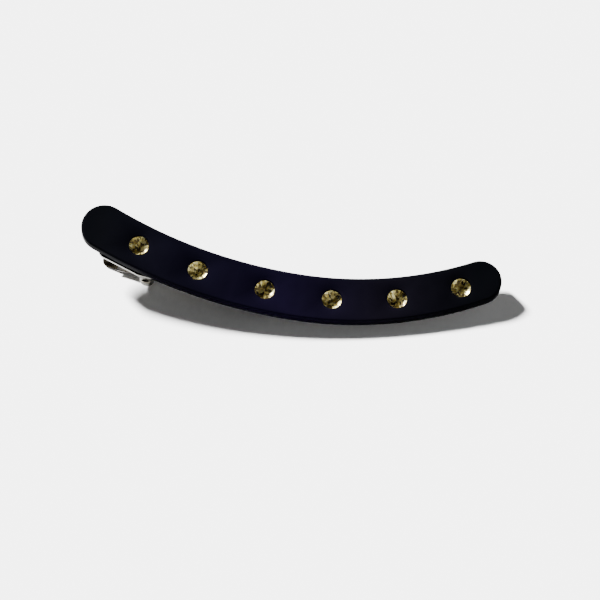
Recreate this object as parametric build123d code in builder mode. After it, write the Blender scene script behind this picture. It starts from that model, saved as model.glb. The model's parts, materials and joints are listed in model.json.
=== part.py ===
from build123d import *
import os
from math import cos, radians, sin

# A hair barrette: a flat sickle-shaped acetate cover with a row of inset rhinestones, glued to a short
# sprung clip under its left half. Millimetres.
#
# The pieces are drawn flat: the cover's underside is z = 0, +X runs along its length and +Y points to
# its hollow side. At the end they are all tilted together into the pose the barrette rests in.

# Cover: a plate whose two edges are each a gentle arc left of the waist and a tighter one right of it
cover_thickness = 3.0
waist = 2.8  # where the arcs meet, at the bottom of the curve
inner_bottom = 5.7
inner_left_radius = 118.8
inner_right_radius = 88.4
outer_bottom = -5.4
outer_left_radius = 132.2
outer_right_radius = 92.8
left_end_angle = -23.0  # from straight down, about the inner arc's centre
right_end_angle = 27.5
top_edge_round = 0.5
back_edge_round = 0.3

# Rhinestones: brilliant cut with a foiled point, heights measured from the cover's face
stone_radius = 2.35
table_radius = 1.3
table_height = 0.12
girdle_top = -0.50
girdle_bottom = -0.62
culet_height = -2.36
crown_tilt = 30.6
girdle_facet_steeper = 7
star_facet_flatter = 11
pavilion_tilt = 36.5
lower_facet_steeper = 2
foil_thickness = 0.06
seat_radius = 2.45
seat_wall_bottom = -0.76
seat_floor = -2.55
seat_floor_radius = 0.25
stone_row_bottom = 0.15
stone_left_radius = 125.5
stone_right_radius = 93.1
stone_angles = (-18.4, -11.3, -3.6, 5.2, 14.9, 24.6)  # hand-set, so not quite even
stone_turns = (4, 31, 17, 40, 9, 26)

# Clip: its own X runs from the hinge to the jaws, its Y along the hinge pin
hinge_place = Vector(-33.4, 4.0)
clip_turn = -7.0
glue_thickness = 0.3
glue_inset = 0.6
arm_sheet = 0.8
upper_tail_reach = 13.2
upper_tail_radius = 2.2
upper_jaw_reach = 34.0
upper_jaw_radius = 2.3
hinge_width = 8.6
hinge_block = 3.0
lug_radius = 1.6
lug_bend_round = 0.6

lever_sheet = 0.6
lever_tail_reach = 12.2
lever_tail_radius = 1.6
lower_jaw_reach = 33.0
lower_jaw_radius = 1.9
lever_width = 6.8  # over the ears
lever_waist = 5.2  # of the sheet beside them
ear_radius = 1.5
jaw_line = -2.2  # the middle of the lower jaw's sheet when the clip is shut
tooth_pitch = 1.8
tooth_count = 11
first_tooth = 10.0
tooth_root = jaw_line + 0.15
tooth_rail = 0.7
jaw_gap = 0.05
bend_radius = 1.2
lever_floor = -5.5  # the middle of the lever's sheet under the pin
lever_floor_reach = 2.1
tail_bend = Vector(-6.5, -6.4)
tail_end = Vector(-13.4, -8.25)
jaw_bend = 8.5
tip_bend = 31.0
tip_end = Vector(34.0, -1.25)
arm_depth = 12.0  # more than the clip's whole depth

# Hinge pin and its rolled leaf spring
pin_height = -3.6
pin_radius = 0.75
pin_clearance = 0.05
rivet_head_radius = 1.35
rivet_head_height = 0.55
rivet_head_round = 0.4
spring_sheet = 0.25
spring_width = 5.0
spring_radius = 1.25
spring_reach = 8.0
spring_nose = 1.35
spring_top = 1.55
spring_foot = 1.1
spring_heel = Vector(-2.4, -5.03)
spring_lower_end = -6.25
spring_plate_gap = 0.15

# The pose it rests in: rolled towards its outer edge, with the clip holding the left end up
resting_roll = 18.0
resting_pitch = 4.6

plate_top = -glue_thickness
plate_bottom = plate_top - arm_sheet
lug_width = arm_sheet


def on_arc(bottom, radius, angle):
    """The point on an arc that starts level at the waist, at an angle from straight down."""
    return Vector(waist + radius * sin(radians(angle)), bottom + radius * (1 - cos(radians(angle))))


def end_round(inner_radius, outer_radius, angle):
    """The round end that touches both edges' arcs: its centre and radius, and its outer touch point."""
    spoke = Vector(sin(radians(angle)), -cos(radians(angle)))
    inner_centre = Vector(waist, inner_bottom + inner_radius)
    outer_centre = Vector(waist, outer_bottom + outer_radius)
    gap = inner_centre - outer_centre
    lean = gap.dot(spoke)
    difference = outer_radius**2 - inner_radius**2 - gap.length**2 - 2 * inner_radius * lean
    radius = difference / (2 * (outer_radius + inner_radius + lean))
    centre = inner_centre + spoke * (inner_radius + radius)
    return centre, radius, outer_centre + (centre - outer_centre).normalized() * outer_radius


def draw_band():
    """Draws the cover's outline in the open sketch."""
    left_centre, left_radius, outer_left = end_round(inner_left_radius, outer_left_radius, left_end_angle)
    right_centre, right_radius, outer_right = end_round(
        inner_right_radius, outer_right_radius, right_end_angle
    )
    inner_left = on_arc(inner_bottom, inner_left_radius, left_end_angle)
    inner_right = on_arc(inner_bottom, inner_right_radius, right_end_angle)
    inner_waist = Vector(waist, inner_bottom)
    outer_waist = Vector(waist, outer_bottom)
    left_way = Vector(cos(radians(left_end_angle)), sin(radians(left_end_angle))) * -left_radius
    right_way = Vector(cos(radians(right_end_angle)), sin(radians(right_end_angle))) * right_radius
    with BuildLine() as outline:
        TangentArc(outer_waist, outer_right, tangent=(1, 0))
        ThreePointArc(outer_right, right_centre + right_way, inner_right)
        TangentArc(inner_waist, inner_right, tangent=(1, 0))
        TangentArc(inner_waist, inner_left, tangent=(-1, 0))
        ThreePointArc(inner_left, left_centre + left_way, outer_left)
        TangentArc(outer_waist, outer_left, tangent=(-1, 0))
    make_face(outline.edges())


def draw_arm(tail_reach, tail_radius, width, jaw_reach, jaw_radius):
    """Draws a clip arm's plan: widest at the hinge, tapering to a round tail and a round jaw."""
    with Locations((tail_radius - tail_reach, 0)):
        Circle(tail_radius)
    Rectangle(hinge_block, width)
    with Locations((jaw_reach - jaw_radius, 0)):
        Circle(jaw_radius)
    make_hull()


def draw_seat_half(top):
    """Draws half the section of a stone's seat below a height, beside the Z axis."""
    with BuildLine() as section:
        Polyline(
            (0, top),
            (seat_radius, top),
            (seat_radius, seat_wall_bottom),
            (seat_floor_radius, seat_floor),
            (0, seat_floor),
            close=True,
        )
    make_face(section.edges())


def grind(facets, margin=0):
    """Grinds rows of facets into the open blank, a margin outside the bare stone."""
    for tilt, count, first_azimuth, reach, height in facets:
        for turn in range(count):
            azimuth = radians(first_azimuth + 360 * turn / count)
            outward = Vector(cos(azimuth), sin(azimuth))
            normal = outward * sin(radians(tilt)) + Vector(0, 0, cos(radians(tilt)))
            touch = outward * reach + Vector(0, 0, height) + normal * margin
            split(bisect_by=Plane(origin=touch, z_dir=normal), keep=Keep.BOTTOM)


# Each row: tilt from level, how many, first azimuth, and a reach and height that the facet passes
eighth = 45.0
star_reach = table_radius * cos(radians(eighth / 2))
crown_facets = (
    (crown_tilt, 8, 0, stone_radius, girdle_top),
    (crown_tilt + girdle_facet_steeper, 16, eighth / 4, stone_radius, girdle_top),
    (crown_tilt - star_facet_flatter, 8, eighth / 2, star_reach, table_height),
)
pavilion_facets = (
    (180 - pavilion_tilt, 8, 0, stone_radius, girdle_bottom),
    (180 - pavilion_tilt - lower_facet_steeper, 16, eighth / 4, stone_radius, girdle_bottom),
)

# --- Cover ---
stone_places = []
for angle in stone_angles:
    row_radius = stone_left_radius if angle < 0 else stone_right_radius
    on_face = on_arc(stone_row_bottom, row_radius, angle) + Vector(0, 0, cover_thickness)
    stone_places.append(Location(on_face))

with BuildPart() as seat:
    with BuildSketch(Plane.XZ):
        draw_seat_half(top=1)
    revolve(axis=Axis.Z)

with BuildPart() as cover:
    with BuildSketch():
        draw_band()
    extrude(amount=cover_thickness)
    fillet(cover.faces().sort_by(Axis.Z)[-1].edges(), radius=top_edge_round)
    fillet(cover.faces().sort_by(Axis.Z)[0].edges(), radius=back_edge_round)
    with Locations(*stone_places):
        add(seat.part, mode=Mode.SUBTRACT)

# --- Rhinestones, their foils and the cement that holds them, about one stone's own axis ---
with BuildPart() as cut_stone:
    with Locations((0, 0, culet_height)):
        Cylinder(
            stone_radius,
            table_height - culet_height,
            align=(Align.CENTER, Align.CENTER, Align.MIN),
        )
    grind(crown_facets)
    grind(pavilion_facets)

with BuildPart() as foil_cup:
    with Locations((0, 0, culet_height - foil_thickness)):
        Cylinder(
            stone_radius + foil_thickness,
            girdle_bottom - culet_height + foil_thickness,
            align=(Align.CENTER, Align.CENTER, Align.MIN),
        )
    grind(pavilion_facets, margin=foil_thickness)
    foiled_point = foil_cup.part
    add(cut_stone.part, mode=Mode.SUBTRACT)

with BuildPart() as cement_bed:
    with BuildSketch(Plane.XZ):
        draw_seat_half(top=girdle_bottom)
    revolve(axis=Axis.Z)
    add(foiled_point, mode=Mode.SUBTRACT)

with BuildPart() as stone_cement:
    for place, turn in zip(stone_places, stone_turns):
        with Locations(place * Location((0, 0, 0), (0, 0, turn))):
            add(cement_bed.part)

pieces = {"cover": cover, "stone_cement": stone_cement}
for number, (place, turn) in enumerate(zip(stone_places, stone_turns), start=1):
    with BuildPart() as rhinestone:
        with Locations(place * Location((0, 0, 0), (0, 0, turn))):
            add(cut_stone.part)
    with BuildPart() as stone_foil:
        with Locations(place * Location((0, 0, 0), (0, 0, turn))):
            add(foil_cup.part)
    pieces[f"rhinestone_{number}"] = rhinestone
    pieces[f"stone_foil_{number}"] = stone_foil

# --- Clip, about its own hinge ---
clip_place = Location(hinge_place) * Location((0, 0, 0), (0, 0, clip_turn))

with BuildPart() as upper_arm:
    with BuildSketch(Plane.XY.offset(plate_bottom)):
        draw_arm(upper_tail_reach, upper_tail_radius, hinge_width, upper_jaw_reach, upper_jaw_radius)
    extrude(amount=arm_sheet)
    for side in (-1, 1):
        with BuildSketch(Plane.XZ.offset(side * (hinge_width - lug_width) / 2)):
            with Locations((0, pin_height)):
                Circle(lug_radius)
            with Locations((0, pin_height)):
                Rectangle(2 * lug_radius, plate_top - pin_height, align=(Align.CENTER, Align.MIN))
            with Locations((0, pin_height)):
                Circle(pin_radius, mode=Mode.SUBTRACT)
        extrude(amount=lug_width / 2, both=True)
    bend_edges = upper_arm.edges().filter_by(Axis.X).group_by(Axis.Z)[-1]
    fillet(bend_edges, radius=lug_bend_round)

with BuildPart() as lower_arm:
    with BuildSketch(Plane.XZ):
        with BuildLine() as lever_bends:
            FilletPolyline(
                tail_end,
                tail_bend,
                (-lever_floor_reach, lever_floor),
                (lever_floor_reach, lever_floor),
                (jaw_bend, jaw_line),
                (tip_bend, jaw_line),
                tip_end,
                radius=bend_radius,
            )
        trace(lever_bends.line, line_width=lever_sheet)
    extrude(amount=lever_width, both=True)
    with BuildSketch(Plane.XZ):
        teeth = [(first_tooth, jaw_line), (first_tooth, tooth_root)]
        for tooth in range(tooth_count):
            teeth.append((first_tooth + (tooth + 0.5) * tooth_pitch, plate_bottom - jaw_gap))
            teeth.append((first_tooth + (tooth + 1) * tooth_pitch, tooth_root))
        teeth.append((first_tooth + tooth_count * tooth_pitch, jaw_line))
        with BuildLine():
            Polyline(*teeth, close=True)
        make_face()
    extrude(amount=lever_width, both=True)
    with BuildSketch() as lever_plan:
        draw_arm(lever_tail_reach, lever_tail_radius, lever_waist, lower_jaw_reach, lower_jaw_radius)
        Rectangle(hinge_block, lever_width)
    extrude(amount=arm_depth, both=True, mode=Mode.INTERSECT)
    with BuildSketch(Plane.XY.offset(jaw_line + lever_sheet / 2)):
        add(lever_plan.sketch)
        offset(amount=-tooth_rail, mode=Mode.REPLACE)
        with Locations((first_tooth, 0)):
            Rectangle(
                tooth_count * tooth_pitch,
                lever_width,
                align=(Align.MIN, Align.CENTER),
                mode=Mode.INTERSECT,
            )
    extrude(amount=arm_depth, mode=Mode.SUBTRACT)
    for side in (-1, 1):
        with BuildSketch(Plane.XZ.offset(side * (lever_width - lever_sheet) / 2)):
            with Locations((0, pin_height)):
                Circle(ear_radius)
                Rectangle(2 * ear_radius, pin_height - lever_floor, align=(Align.CENTER, Align.MAX))
                Circle(pin_radius + pin_clearance, mode=Mode.SUBTRACT)
        extrude(amount=lever_sheet / 2, both=True)

with BuildPart() as hinge_pin:
    with BuildSketch(Plane.XZ):
        with Locations((0, pin_height)):
            Circle(pin_radius)
    extrude(amount=hinge_width / 2, both=True)
    for side in (-1, 1):
        with BuildSketch(Plane.XZ.offset(side * hinge_width / 2)):
            with Locations((0, pin_height)):
                Circle(rivet_head_radius)
        extrude(amount=side * rivet_head_height)
        fillet(hinge_pin.faces().sort_by(Axis.Y)[-1 if side < 0 else 0].edges(), radius=rivet_head_round)

with BuildPart() as spring:
    with BuildSketch(Plane.XZ):
        with BuildLine() as leaf:
            FilletPolyline(
                (-spring_reach, plate_bottom - spring_plate_gap),
                (spring_nose, pin_height + spring_top),
                (spring_nose, pin_height - spring_foot),
                spring_heel,
                (-spring_reach, spring_lower_end),
                radius=spring_radius,
            )
        trace(leaf.line, line_width=spring_sheet)
    extrude(amount=spring_width / 2, both=True)

for piece in (upper_arm, lower_arm, hinge_pin, spring):
    piece.part.move(clip_place)

with BuildSketch() as arm_plan:
    draw_arm(upper_tail_reach, upper_tail_radius, hinge_width, upper_jaw_reach, upper_jaw_radius)
    offset(amount=-glue_inset, mode=Mode.REPLACE)

with BuildPart() as clip_adhesive:
    with BuildSketch():
        draw_band()
        offset(amount=-glue_inset, mode=Mode.REPLACE)
        with Locations(clip_place):
            add(arm_plan.sketch, mode=Mode.INTERSECT)
    extrude(amount=-glue_thickness)

pieces["clip_adhesive"] = clip_adhesive
pieces["upper_arm"] = upper_arm
pieces["lower_arm"] = lower_arm
pieces["hinge_pin"] = hinge_pin
pieces["spring"] = spring

# --- Tilt everything into the resting pose, stand it on z = 0 and centre it ---
tilt = Location((0, 0, 0), (0, resting_pitch, 0)) * Location((0, 0, 0), (resting_roll, 0, 0))
for piece in pieces.values():
    piece.part.move(tilt)
box = Compound([piece.part for piece in pieces.values()]).bounding_box()
stand = Location((-box.center().X, -box.center().Y, -box.min.Z))

os.makedirs("parts", exist_ok=True)
for name, piece in pieces.items():
    piece.part.move(stand)
    piece.part.label = name
    export_step(piece.part, f"parts/{name}.step")
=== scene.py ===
import json
from math import atan2, cos, pi, radians, sin

import bmesh
import bpy
from mathutils import Matrix, Vector


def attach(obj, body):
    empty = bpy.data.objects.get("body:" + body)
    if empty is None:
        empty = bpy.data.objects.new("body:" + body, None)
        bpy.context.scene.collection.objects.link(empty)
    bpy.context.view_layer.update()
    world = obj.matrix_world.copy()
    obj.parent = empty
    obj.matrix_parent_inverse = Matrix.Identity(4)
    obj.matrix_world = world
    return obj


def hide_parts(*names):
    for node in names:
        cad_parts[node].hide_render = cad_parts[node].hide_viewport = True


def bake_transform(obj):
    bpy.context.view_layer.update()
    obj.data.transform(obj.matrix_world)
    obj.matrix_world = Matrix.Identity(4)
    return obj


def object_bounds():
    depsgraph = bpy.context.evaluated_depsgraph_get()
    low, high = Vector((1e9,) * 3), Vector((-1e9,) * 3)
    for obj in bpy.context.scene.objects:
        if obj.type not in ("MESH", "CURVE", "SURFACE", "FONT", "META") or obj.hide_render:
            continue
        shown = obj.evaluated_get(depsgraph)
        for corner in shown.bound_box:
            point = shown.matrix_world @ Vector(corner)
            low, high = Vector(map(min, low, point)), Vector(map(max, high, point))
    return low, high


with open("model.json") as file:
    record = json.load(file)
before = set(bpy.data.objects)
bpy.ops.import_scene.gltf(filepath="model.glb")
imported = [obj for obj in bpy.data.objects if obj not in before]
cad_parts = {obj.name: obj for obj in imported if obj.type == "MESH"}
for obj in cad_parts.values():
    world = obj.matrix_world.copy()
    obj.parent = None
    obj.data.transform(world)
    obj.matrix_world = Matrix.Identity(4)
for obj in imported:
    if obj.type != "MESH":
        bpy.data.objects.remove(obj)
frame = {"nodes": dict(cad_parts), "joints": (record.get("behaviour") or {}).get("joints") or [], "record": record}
cad_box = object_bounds()
MM = 0.001

# ---------------- the cover's own frame, from the record
hinge = frame["joints"][0]
back_face = next(m for m in frame["record"]["mounts"] if m["name"] == "back_face")
clip_turn = radians(-7.0)
pin_from_cover = Vector((-33.4, 4.0, -3.6)) * MM

face_normal = -Vector(back_face["axis"]).normalized()
pin_direction = Vector(hinge["axis"]).normalized()
along_clip = pin_direction.cross(face_normal)
clip_axes = Matrix((along_clip, pin_direction, face_normal)).transposed()
cover_axes = clip_axes @ Matrix.Rotation(-clip_turn, 3, "Z")
cover_origin = Vector(hinge["pos_m"]) - cover_axes @ pin_from_cover
COVER = Matrix.Translation(cover_origin) @ cover_axes.to_4x4()

# ---------------- driving dimensions, in metres
cover_thickness = 3.0 * MM
waist = 2.8 * MM
inner_bottom = 5.7 * MM
inner_left_radius = 118.8 * MM
inner_right_radius = 88.4 * MM
outer_bottom = -5.4 * MM
outer_left_radius = 132.2 * MM
outer_right_radius = 92.8 * MM
left_end_angle = radians(-23.0)
right_end_angle = radians(27.5)
top_edge_round = 0.5 * MM
back_edge_round = 0.3 * MM

stone_radius = 2.35 * MM
table_radius = 1.3 * MM
table_height = 0.12 * MM
girdle_top = -0.50 * MM
girdle_bottom = -0.62 * MM
culet_height = -2.36 * MM
crown_tilt = radians(30.6)
girdle_facet_steeper = radians(7)
star_facet_flatter = radians(11)
pavilion_tilt = radians(36.5)
lower_facet_steeper = radians(2)
seat_radius = 2.45 * MM
seat_wall_bottom = -0.76 * MM
seat_floor = -2.55 * MM
seat_floor_radius = 0.25 * MM
stone_row_bottom = 0.15 * MM
stone_left_radius = 125.5 * MM
stone_right_radius = 93.1 * MM
stone_angles = [radians(a) for a in (-18.4, -11.3, -3.6, 5.2, 14.9, 24.6)]
stone_turns = [radians(a) for a in (4, 31, 17, 40, 9, 26)]


# ---------------- node helpers
def node_adder(tree):
    """A function that adds a node to a tree, with a value or a link for each named input."""

    def add(kind, inputs=None, **settings):
        node = tree.nodes.new(kind)
        for key, value in settings.items():
            setattr(node, key, value)
        for key, value in (inputs or {}).items():
            if isinstance(value, bpy.types.NodeSocket):
                tree.links.new(value, node.inputs[key])
            else:
                node.inputs[key].default_value = value
        return node

    return add


def new_material(name):
    """A node material with its Principled shader, and its functions that add and link nodes."""
    material = bpy.data.materials.new(name)
    material.use_nodes = True
    tree = material.node_tree
    return material, tree.nodes["Principled BSDF"], node_adder(tree), tree.links.new


def ramp(add, factor, *stops):
    """A colour ramp with (position, colour) stops."""
    node = add("ShaderNodeValToRGB", {"Fac": factor})
    elements = node.color_ramp.elements
    while len(elements) < len(stops):
        elements.new(0.5)
    for element, (position, colour) in zip(elements, stops):
        element.position = position
        element.color = (*colour, 1.0) if len(colour) == 3 else colour
    return node.outputs["Color"]


def multiply(add, first, second):
    """The product of two colours."""
    node = add("ShaderNodeMix", {"Factor": 1.0}, data_type="RGBA", blend_type="MULTIPLY")
    tree = node.id_data
    tree.links.new(first, node.inputs["A"])
    tree.links.new(second, node.inputs["B"])
    return node.outputs["Result"]


def grey(value):
    return (value, value, value)


# ---------------- materials
def acetate_material():
    """Polished near-black acetate: a painted violet reflection at mid-length fading to near-black ends, faint
    clouds, polishing haze.
    """
    material, shader, add, link = new_material("navy_acetate")
    place = add("ShaderNodeTexCoord").outputs["Object"]
    along = add("ShaderNodeSeparateXYZ", {"Vector": place}).outputs["X"]
    length_way = add(
        "ShaderNodeMapRange",
        {"Value": along, "From Min": cad_box[0][0], "From Max": cad_box[1][0]},
    )
    # painted reflection: a violet glow at mid-length fading to near-black at the ends, standing in for a softbox
    # mirrored in the face
    painted_violet_reflection = ramp(
        add,
        length_way.outputs["Result"],
        (0.05, (0.0013, 0.0014, 0.0019)),
        (0.50, (0.0021, 0.0015, 0.0052)),
        (0.72, (0.0019, 0.0016, 0.0030)),
        (0.95, (0.0010, 0.0011, 0.0015)),
    )
    cloud = add(
        "ShaderNodeTexNoise",
        {"Vector": place, "Scale": 60.0, "Detail": 4.0, "Roughness": 0.6},
    )
    veil = ramp(add, cloud.outputs["Fac"], (0.25, grey(0.75)), (0.75, grey(1.25)))
    link(multiply(add, painted_violet_reflection, veil), shader.inputs["Base Color"])
    haze = add("ShaderNodeTexNoise", {"Vector": place, "Scale": 260.0, "Detail": 3.0})
    link(
        ramp(add, haze.outputs["Fac"], (0.35, grey(0.08)), (0.75, grey(0.14))),
        shader.inputs["Roughness"],
    )
    waviness = add("ShaderNodeTexNoise", {"Vector": place, "Scale": 90.0, "Detail": 2.0})
    bump = add(
        "ShaderNodeBump",
        {"Height": waviness.outputs["Fac"], "Strength": 0.05, "Distance": 0.0002},
    )
    link(bump.outputs["Normal"], shader.inputs["Normal"])
    shader.inputs["IOR"].default_value = 1.49
    # far below real acetate, because the studio's floor is very bright
    shader.inputs["Specular IOR Level"].default_value = 0.0012
    return material


def nickel_material(name, light, dark, edge=(1.0, 1.0, 1.0)):
    """Nickel-plated steel: fine rolling lines and duller patches; edge tints grazing glints."""
    material, shader, add, link = new_material(name)
    place = add("ShaderNodeTexCoord").outputs["Object"]
    stretched = add("ShaderNodeMapping", {"Vector": place, "Scale": (0.12, 1.0, 1.0)})
    lines = add(
        "ShaderNodeTexNoise",
        {"Vector": stretched.outputs["Vector"], "Scale": 1800.0, "Detail": 5.0},
    )
    patches = add("ShaderNodeTexNoise", {"Vector": place, "Scale": 220.0, "Detail": 3.0})
    link(ramp(add, patches.outputs["Fac"], (0.35, dark), (0.65, light)), shader.inputs["Base Color"])
    link(
        ramp(add, lines.outputs["Fac"], (0.3, grey(0.10)), (0.75, grey(0.22))),
        shader.inputs["Roughness"],
    )
    bump = add(
        "ShaderNodeBump",
        {"Height": lines.outputs["Fac"], "Strength": 0.12, "Distance": 0.00005},
    )
    link(bump.outputs["Normal"], shader.inputs["Normal"])
    shader.inputs["Metallic"].default_value = 1.0
    shader.inputs["Specular Tint"].default_value = (*edge, 1.0)
    return material


def foil_material():
    """The stone's gold foil with painted sparkle: each facet breaks into shards, each given a random tone from
    dark brown through gold to a pale champagne highlight, standing in for the facets' reflections.
    """
    material, shader, add, link = new_material("gold_foil")
    place = add("ShaderNodeTexCoord").outputs["Object"]
    facing = add("ShaderNodeNewGeometry").outputs["True Normal"]
    step = add("ShaderNodeVectorMath", {0: facing, 1: (0.02, 0.02, 0.02)}, operation="SNAP")
    shard = add("ShaderNodeTexVoronoi", {"Vector": place, "Scale": 1500.0})
    both = add("ShaderNodeVectorMath", {0: step.outputs["Vector"], 1: shard.outputs["Color"]})
    facet = add("ShaderNodeTexWhiteNoise", {"Vector": both.outputs["Vector"]})
    # painted reflections: random per-facet brightness, from dark brown to a pale highlight, in place of the glints
    # of a uniform gold foil
    tone = ramp(
        add,
        facet.outputs["Value"],
        (0.00, (0.014, 0.009, 0.002)),
        (0.40, (0.110, 0.078, 0.012)),
        (0.65, (0.580, 0.480, 0.140)),
        (1.00, (1.000, 0.950, 0.520)),
    )
    grain = add("ShaderNodeTexNoise", {"Vector": place, "Scale": 1500.0, "Detail": 2.0})
    uneven = ramp(add, grain.outputs["Fac"], (0.3, grey(0.75)), (0.7, grey(1.0)))
    link(multiply(add, tone, uneven), shader.inputs["Base Color"])
    shader.inputs["Metallic"].default_value = 0.7
    shader.inputs["Roughness"].default_value = 0.30
    return material


def crown_material():
    """The stone's polished champagne glass, which lets part of the light straight through."""
    material, shader, add, link = new_material("champagne_glass")
    place = add("ShaderNodeTexCoord").outputs["Object"]
    tint = add("ShaderNodeTexNoise", {"Vector": place, "Scale": 400.0, "Detail": 1.0})
    link(
        ramp(add, tint.outputs["Fac"], (0.3, (0.95, 0.86, 0.60)), (0.7, (1.0, 0.93, 0.72))),
        shader.inputs["Base Color"],
    )
    shader.inputs["Transmission Weight"].default_value = 1.0
    shader.inputs["Alpha"].default_value = 0.35
    shader.inputs["IOR"].default_value = 1.56
    shader.inputs["Roughness"].default_value = 0.0
    return material


def resin_material(name, dark, light, roughness):
    """Cured glue or cement, slightly mottled."""
    material, shader, add, link = new_material(name)
    place = add("ShaderNodeTexCoord").outputs["Object"]
    mottle = add("ShaderNodeTexNoise", {"Vector": place, "Scale": 700.0, "Detail": 3.0})
    link(ramp(add, mottle.outputs["Fac"], (0.3, dark), (0.7, light)), shader.inputs["Base Color"])
    bump = add(
        "ShaderNodeBump",
        {"Height": mottle.outputs["Fac"], "Strength": 0.3, "Distance": 0.00008},
    )
    link(bump.outputs["Normal"], shader.inputs["Normal"])
    shader.inputs["Roughness"].default_value = roughness
    shader.inputs["Subsurface Weight"].default_value = 0.1
    shader.inputs["Subsurface Radius"].default_value = (0.0005, 0.0005, 0.0004)
    return material


def paper_material():
    """The studio's pale paper sweep."""
    material, shader, add, link = new_material("paper")
    place = add("ShaderNodeTexCoord").outputs["Object"]
    fibre = add("ShaderNodeTexNoise", {"Vector": place, "Scale": 300.0, "Detail": 3.0})
    link(
        ramp(add, fibre.outputs["Fac"], (0.0, grey(0.795)), (1.0, grey(0.805))),
        shader.inputs["Base Color"],
    )
    shader.inputs["Roughness"].default_value = 1.0
    shader.inputs["Specular IOR Level"].default_value = 0.0
    return material


acetate = acetate_material()
gold_foil = foil_material()
champagne_glass = crown_material()
clip_nickel = nickel_material("clip_nickel", (0.24, 0.235, 0.22), (0.09, 0.085, 0.07))
# painted shade: the lever is the clip's own nickel, given a near-black base and a dimmed brownish edge tint
# because it sits in shade under the upper arm
shaded_lever_nickel = nickel_material(
    "shaded_lever_nickel", (0.050, 0.042, 0.028), (0.026, 0.021, 0.014), edge=(0.20, 0.16, 0.10)
)
pin_nickel = nickel_material("pin_nickel", (0.22, 0.21, 0.18), (0.10, 0.09, 0.07))
spring_steel = nickel_material("spring_steel", (0.22, 0.21, 0.20), (0.14, 0.13, 0.12))
cement = resin_material("cement", (0.0020, 0.0018, 0.0020), (0.0034, 0.0030, 0.0032), 0.45)
glue = resin_material("glue", (0.66, 0.65, 0.60), (0.80, 0.79, 0.75), 0.30)


# ---------------- mesh helpers
def add_object(name, bm, place, *materials, sharp=radians(30)):
    """Makes an object from a mesh drawn in a local frame, baked into the row frame."""
    bmesh.ops.transform(bm, matrix=place, verts=bm.verts)
    bmesh.ops.recalc_face_normals(bm, faces=bm.faces)
    mesh = bpy.data.meshes.new(name)
    bm.to_mesh(mesh)
    bm.free()
    mesh.shade_smooth()
    mesh.set_sharp_from_angle(angle=sharp)
    for material in materials:
        mesh.materials.append(material)
    piece = bpy.data.objects.new(name, mesh)
    bpy.context.scene.collection.objects.link(piece)
    return piece


def on_arc(bottom, radius, angle):
    """The point on an arc that starts level at the waist, at an angle from straight down."""
    return Vector((waist + radius * sin(angle), bottom + radius * (1 - cos(angle))))


def on_row(angle):
    """The middle of the stone at an angle along the row."""
    return on_arc(stone_row_bottom, stone_left_radius if angle < 0 else stone_right_radius, angle)


# ---------------- the cover
def end_round(inner_radius, outer_radius, angle):
    """The round end touching both edges: its centre and radius, and the outer arc's end angle."""
    spoke = Vector((sin(angle), -cos(angle)))
    inner_centre = Vector((waist, inner_bottom + inner_radius))
    outer_centre = Vector((waist, outer_bottom + outer_radius))
    gap = inner_centre - outer_centre
    lean = gap.dot(spoke)
    difference = outer_radius**2 - inner_radius**2 - gap.length**2 - 2 * inner_radius * lean
    radius = difference / (2 * (outer_radius + inner_radius + lean))
    centre = inner_centre + spoke * (inner_radius + radius)
    return centre, radius, atan2(centre.x - outer_centre.x, outer_centre.y - centre.y)


def arc_points(centre, radius, start, end, count, outward):
    """Points along an arc, without its last one, each with the outline's outward normal."""
    points = []
    for i in range(count):
        angle = start + (end - start) * i / count
        spoke = Vector((sin(angle), -cos(angle)))
        points.append((centre + radius * spoke, spoke * outward))
    return points


def waist_arc(bottom, radius, start, end, count, outward):
    """Points along one of the edge's arcs, all of which start level at the waist."""
    return arc_points(Vector((waist, bottom + radius)), radius, start, end, count, outward)


def band_outline(arc_count=75, end_count=40):
    """The cover's outline, counter-clockwise from above, as (point, outward normal)."""
    left_centre, left_radius, outer_left = end_round(
        inner_left_radius, outer_left_radius, left_end_angle
    )
    right_centre, right_radius, outer_right = end_round(
        inner_right_radius, outer_right_radius, right_end_angle
    )
    return (
        waist_arc(outer_bottom, outer_left_radius, outer_left, 0, arc_count, 1)
        + waist_arc(outer_bottom, outer_right_radius, 0, outer_right, arc_count, 1)
        + arc_points(right_centre, right_radius, outer_right, right_end_angle + pi, end_count, 1)
        + waist_arc(inner_bottom, inner_right_radius, right_end_angle, 0, arc_count, -1)
        + waist_arc(inner_bottom, inner_left_radius, 0, left_end_angle, arc_count, -1)
        + arc_points(
            left_centre, left_radius, left_end_angle + pi, outer_left + 2 * pi, end_count, 1
        )
    )


def edge_profile(steps=7):
    """The edge's section from the back to the face, as (inset from the outline, height)."""
    flat_border = 0.25 * MM
    profile = [(back_edge_round + flat_border, 0.0)]
    for i in range(steps + 1):
        angle = radians(90) * i / steps
        profile.append((back_edge_round * (1 - sin(angle)), back_edge_round * (1 - cos(angle))))
    for i in range(steps + 1):
        angle = radians(90) * i / steps
        profile.append(
            (
                top_edge_round * (1 - cos(angle)),
                cover_thickness - top_edge_round * (1 - sin(angle)),
            )
        )
    profile.append((top_edge_round + flat_border, cover_thickness))
    return profile


def ring_of(bm, points):
    return [bm.verts.new(p) for p in points]


def bridge(bm, lower, upper):
    """Quads between two rings of the same length."""
    count = len(lower)
    for i in range(count):
        j = (i + 1) % count
        bm.faces.new((lower[i], lower[j], upper[j], upper[i]))


def loop_edges(bm, ring):
    return [bm.edges.get((ring[i], ring[(i + 1) % len(ring)])) for i in range(len(ring))]


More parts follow.
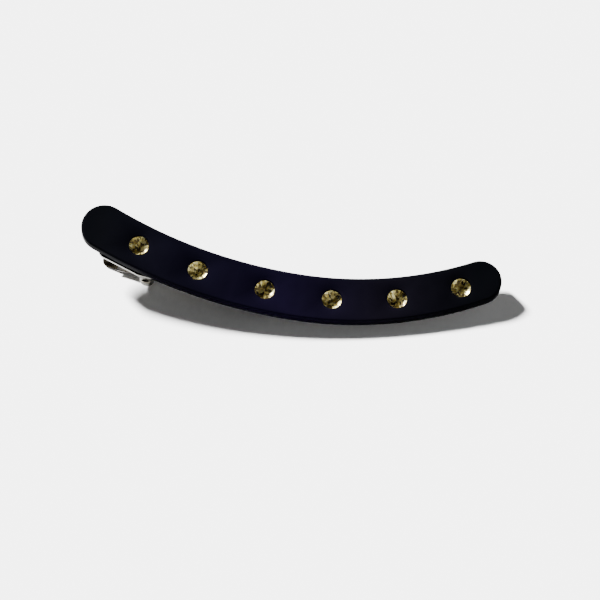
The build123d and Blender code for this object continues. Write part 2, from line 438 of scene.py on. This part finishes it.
def make_cover():
    bm = bmesh.new()
    outline = band_outline()
    rings = []
    for inset, height in edge_profile():
        rings.append(ring_of(bm, [(*(p - n * inset), height) for p, n in outline]))
    for lower, upper in zip(rings, rings[1:]):
        bridge(bm, lower, upper)
    bm.faces.new(list(reversed(rings[0])))

    face_edges = loop_edges(bm, rings[-1])
    seat_steps, seat_lip = 72, 0.07 * MM
    seat_profile = (
        (seat_radius + seat_lip, 0.0),
        (seat_radius + 0.02 * MM, -0.02 * MM),
        (seat_radius, -seat_lip),
        (seat_radius, seat_wall_bottom),
        (seat_floor_radius, seat_floor),
    )
    for angle in stone_angles:
        centre = on_row(angle)
        seat_rings = []
        for radius, depth in seat_profile:
            ring = []
            for i in range(seat_steps):
                spoke = Vector((cos(2 * pi * i / seat_steps), sin(2 * pi * i / seat_steps)))
                ring.append((*(centre + spoke * radius), cover_thickness + depth))
            seat_rings.append(ring_of(bm, ring))
        for lower, upper in zip(seat_rings, seat_rings[1:]):
            bridge(bm, lower, upper)
        bm.faces.new(seat_rings[-1])
        face_edges += loop_edges(bm, seat_rings[0])
    bmesh.ops.triangle_fill(bm, use_beauty=True, edges=face_edges, normal=(0, 0, 1))
    piece = add_object("acetate_cover", bm, COVER, acetate)
    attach(piece, "ornament")
    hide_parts("cover")


# ---------------- the rhinestones
def grind(bm, tilt, count, first_azimuth, reach, height, material_index):
    """Cuts a row of facets into a convex blank and caps each cut with one flat face."""
    for turn in range(count):
        azimuth = first_azimuth + 2 * pi * turn / count
        outward = Vector((cos(azimuth), sin(azimuth), 0))
        normal = outward * sin(tilt) + Vector((0, 0, cos(tilt)))
        cut = bmesh.ops.bisect_plane(
            bm,
            geom=[*bm.verts, *bm.edges, *bm.faces],
            dist=1e-9,
            plane_co=outward * reach + Vector((0, 0, height)),
            plane_no=normal,
            clear_outer=True,
        )
        rim = [e for e in cut["geom_cut"] if isinstance(e, bmesh.types.BMEdge)]
        if len(rim) > 2:
            for face in bmesh.ops.contextual_create(bm, geom=rim)["faces"]:
                face.material_index = material_index


def make_stone(number, angle, turn):
    CROWN, FOILED = 0, 1
    bm = bmesh.new()
    depth = table_height - culet_height
    middle = Matrix.Translation((0, 0, (table_height + culet_height) / 2))
    bmesh.ops.create_cone(
        bm,
        cap_ends=True,
        segments=64,
        radius1=stone_radius,
        radius2=stone_radius,
        depth=depth,
        matrix=middle,
    )
    star_reach = table_radius * cos(pi / 8)
    grind(bm, pi - pavilion_tilt, 8, 0, stone_radius, girdle_bottom, FOILED)
    lower_tilt = pi - pavilion_tilt - lower_facet_steeper
    grind(bm, lower_tilt, 16, pi / 16, stone_radius, girdle_bottom, FOILED)
    grind(bm, crown_tilt, 8, 0, stone_radius, girdle_top, CROWN)
    grind(bm, crown_tilt + girdle_facet_steeper, 16, pi / 16, stone_radius, girdle_top, CROWN)
    grind(bm, crown_tilt - star_facet_flatter, 8, pi / 8, star_reach, table_height, CROWN)
    for face in bm.faces:
        if face.calc_center_median().z < culet_height + 1e-6:
            face.material_index = FOILED
    centre = on_row(angle)
    place = COVER @ Matrix.Translation((*centre, cover_thickness)) @ Matrix.Rotation(turn, 4, "Z")
    piece = add_object(f"cut_stone_{number}", bm, place, champagne_glass, gold_foil, sharp=0.0)
    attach(piece, "ornament")
    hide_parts(f"rhinestone_{number}")


# ---------------- the clip
def soften(node, name, width, body, material, segments=3):
    """A copy of a CAD sheet-metal piece with its sharp edges rounded over."""
    bm = bmesh.new()
    bm.from_mesh(frame["nodes"][node].data)
    bmesh.ops.remove_doubles(bm, verts=bm.verts, dist=1e-6)
    bmesh.ops.dissolve_limit(bm, angle_limit=radians(0.5), verts=bm.verts, edges=bm.edges)
    corners = [e for e in bm.edges if e.is_manifold and e.calc_face_angle() > radians(35)]
    bmesh.ops.bevel(
        bm,
        geom=corners,
        offset=width,
        segments=segments,
        profile=0.5,
        affect="EDGES",
        clamp_overlap=True,
    )
    piece = add_object(name, bm, Matrix.Identity(4), material, sharp=radians(35))
    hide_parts(node)
    if body:
        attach(piece, body)
    return piece


def make_clip():
    soften("upper_arm", "clip_upper_arm", 0.12 * MM, "ornament", clip_nickel)
    soften("lower_arm", "clip_lower_arm", 0.08 * MM, "lever", shaded_lever_nickel)
    leaf = soften("spring", "clip_leaf_spring", 0.04 * MM, None, spring_steel, 2)
    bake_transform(leaf)


def paint(node, material):
    """Gives a CAD node that stays visible its finished material."""
    materials = frame["nodes"][node].data.materials
    materials.clear()
    materials.append(material)


# ---------------- the studio
def make_floor():
    bm = bmesh.new()
    floor_half_width = 4.0
    bmesh.ops.create_grid(bm, x_segments=8, y_segments=8, size=floor_half_width)
    floor = add_object("floor", bm, Matrix.Identity(4), paper_material())


def make_world():
    """A dark studio: black overhead, a little light low down, most of it from the right."""
    world = bpy.data.worlds.new("room")
    bpy.context.scene.world = world
    world.use_nodes = True
    tree = world.node_tree
    add = node_adder(tree)
    direction = add("ShaderNodeTexCoord").outputs["Generated"]
    parts = add("ShaderNodeSeparateXYZ", {"Vector": direction})
    fade = ramp(add, parts.outputs["Z"], (0.0, grey(1.0)), (0.4, grey(0.10)), (1.0, grey(0.02)))
    side = add(
        "ShaderNodeMapRange",
        {"Value": parts.outputs["X"], "From Min": -1.0, "From Max": 1.0},
    )
    glow = ramp(add, side.outputs["Result"], (0.0, grey(0.08)), (0.6, grey(0.20)), (1.0, grey(7.5)))
    tree.links.new(multiply(add, fade, glow), tree.nodes["Background"].inputs["Color"])


def make_key_light():
    """The soft key light, from behind and to the left."""
    light = bpy.data.lights.new("key", "SUN")
    light.energy = 42.0
    light.angle = radians(8)
    key = bpy.data.objects.new("key", light)
    bpy.context.scene.collection.objects.link(key)
    azimuth, elevation = radians(143.5), radians(30.5)
    towards = Vector((cos(azimuth) * cos(elevation), sin(azimuth) * cos(elevation), sin(elevation)))
    key.rotation_euler = towards.to_track_quat("Z", "Y").to_euler()


def make_camera():
    turn, elevation, distance = radians(7.7), radians(52.0), 0.9
    pixels_per_metre = 4150.0
    picture = 600
    aim_on_cover = Vector((2.86, 5.34, 3.0)) * MM
    aim_shift = Vector((0.12, 6.02, 0)) * MM
    data = bpy.data.cameras.new("camera")
    data.sensor_width = 36.0
    data.lens = data.sensor_width * pixels_per_metre * distance / picture
    data.clip_end = 50.0
    camera = bpy.data.objects.new("camera", data)
    bpy.context.scene.collection.objects.link(camera)
    back = Vector((sin(turn) * cos(elevation), -cos(turn) * cos(elevation), sin(elevation)))
    rotation = back.to_track_quat("Z", "Y")
    aim = COVER @ aim_on_cover - rotation @ aim_shift
    camera.rotation_euler = rotation.to_euler()
    camera.location = aim + back * distance
    bpy.context.scene.camera = camera


make_cover()
for number, (angle, turn) in enumerate(zip(stone_angles, stone_turns), start=1):
    make_stone(number, angle, turn)
    paint(f"stone_foil_{number}", gold_foil)
paint("stone_cement", cement)
paint("clip_adhesive", glue)
paint("hinge_pin", pin_nickel)
make_clip()
make_floor()
make_world()
make_key_light()
make_camera()
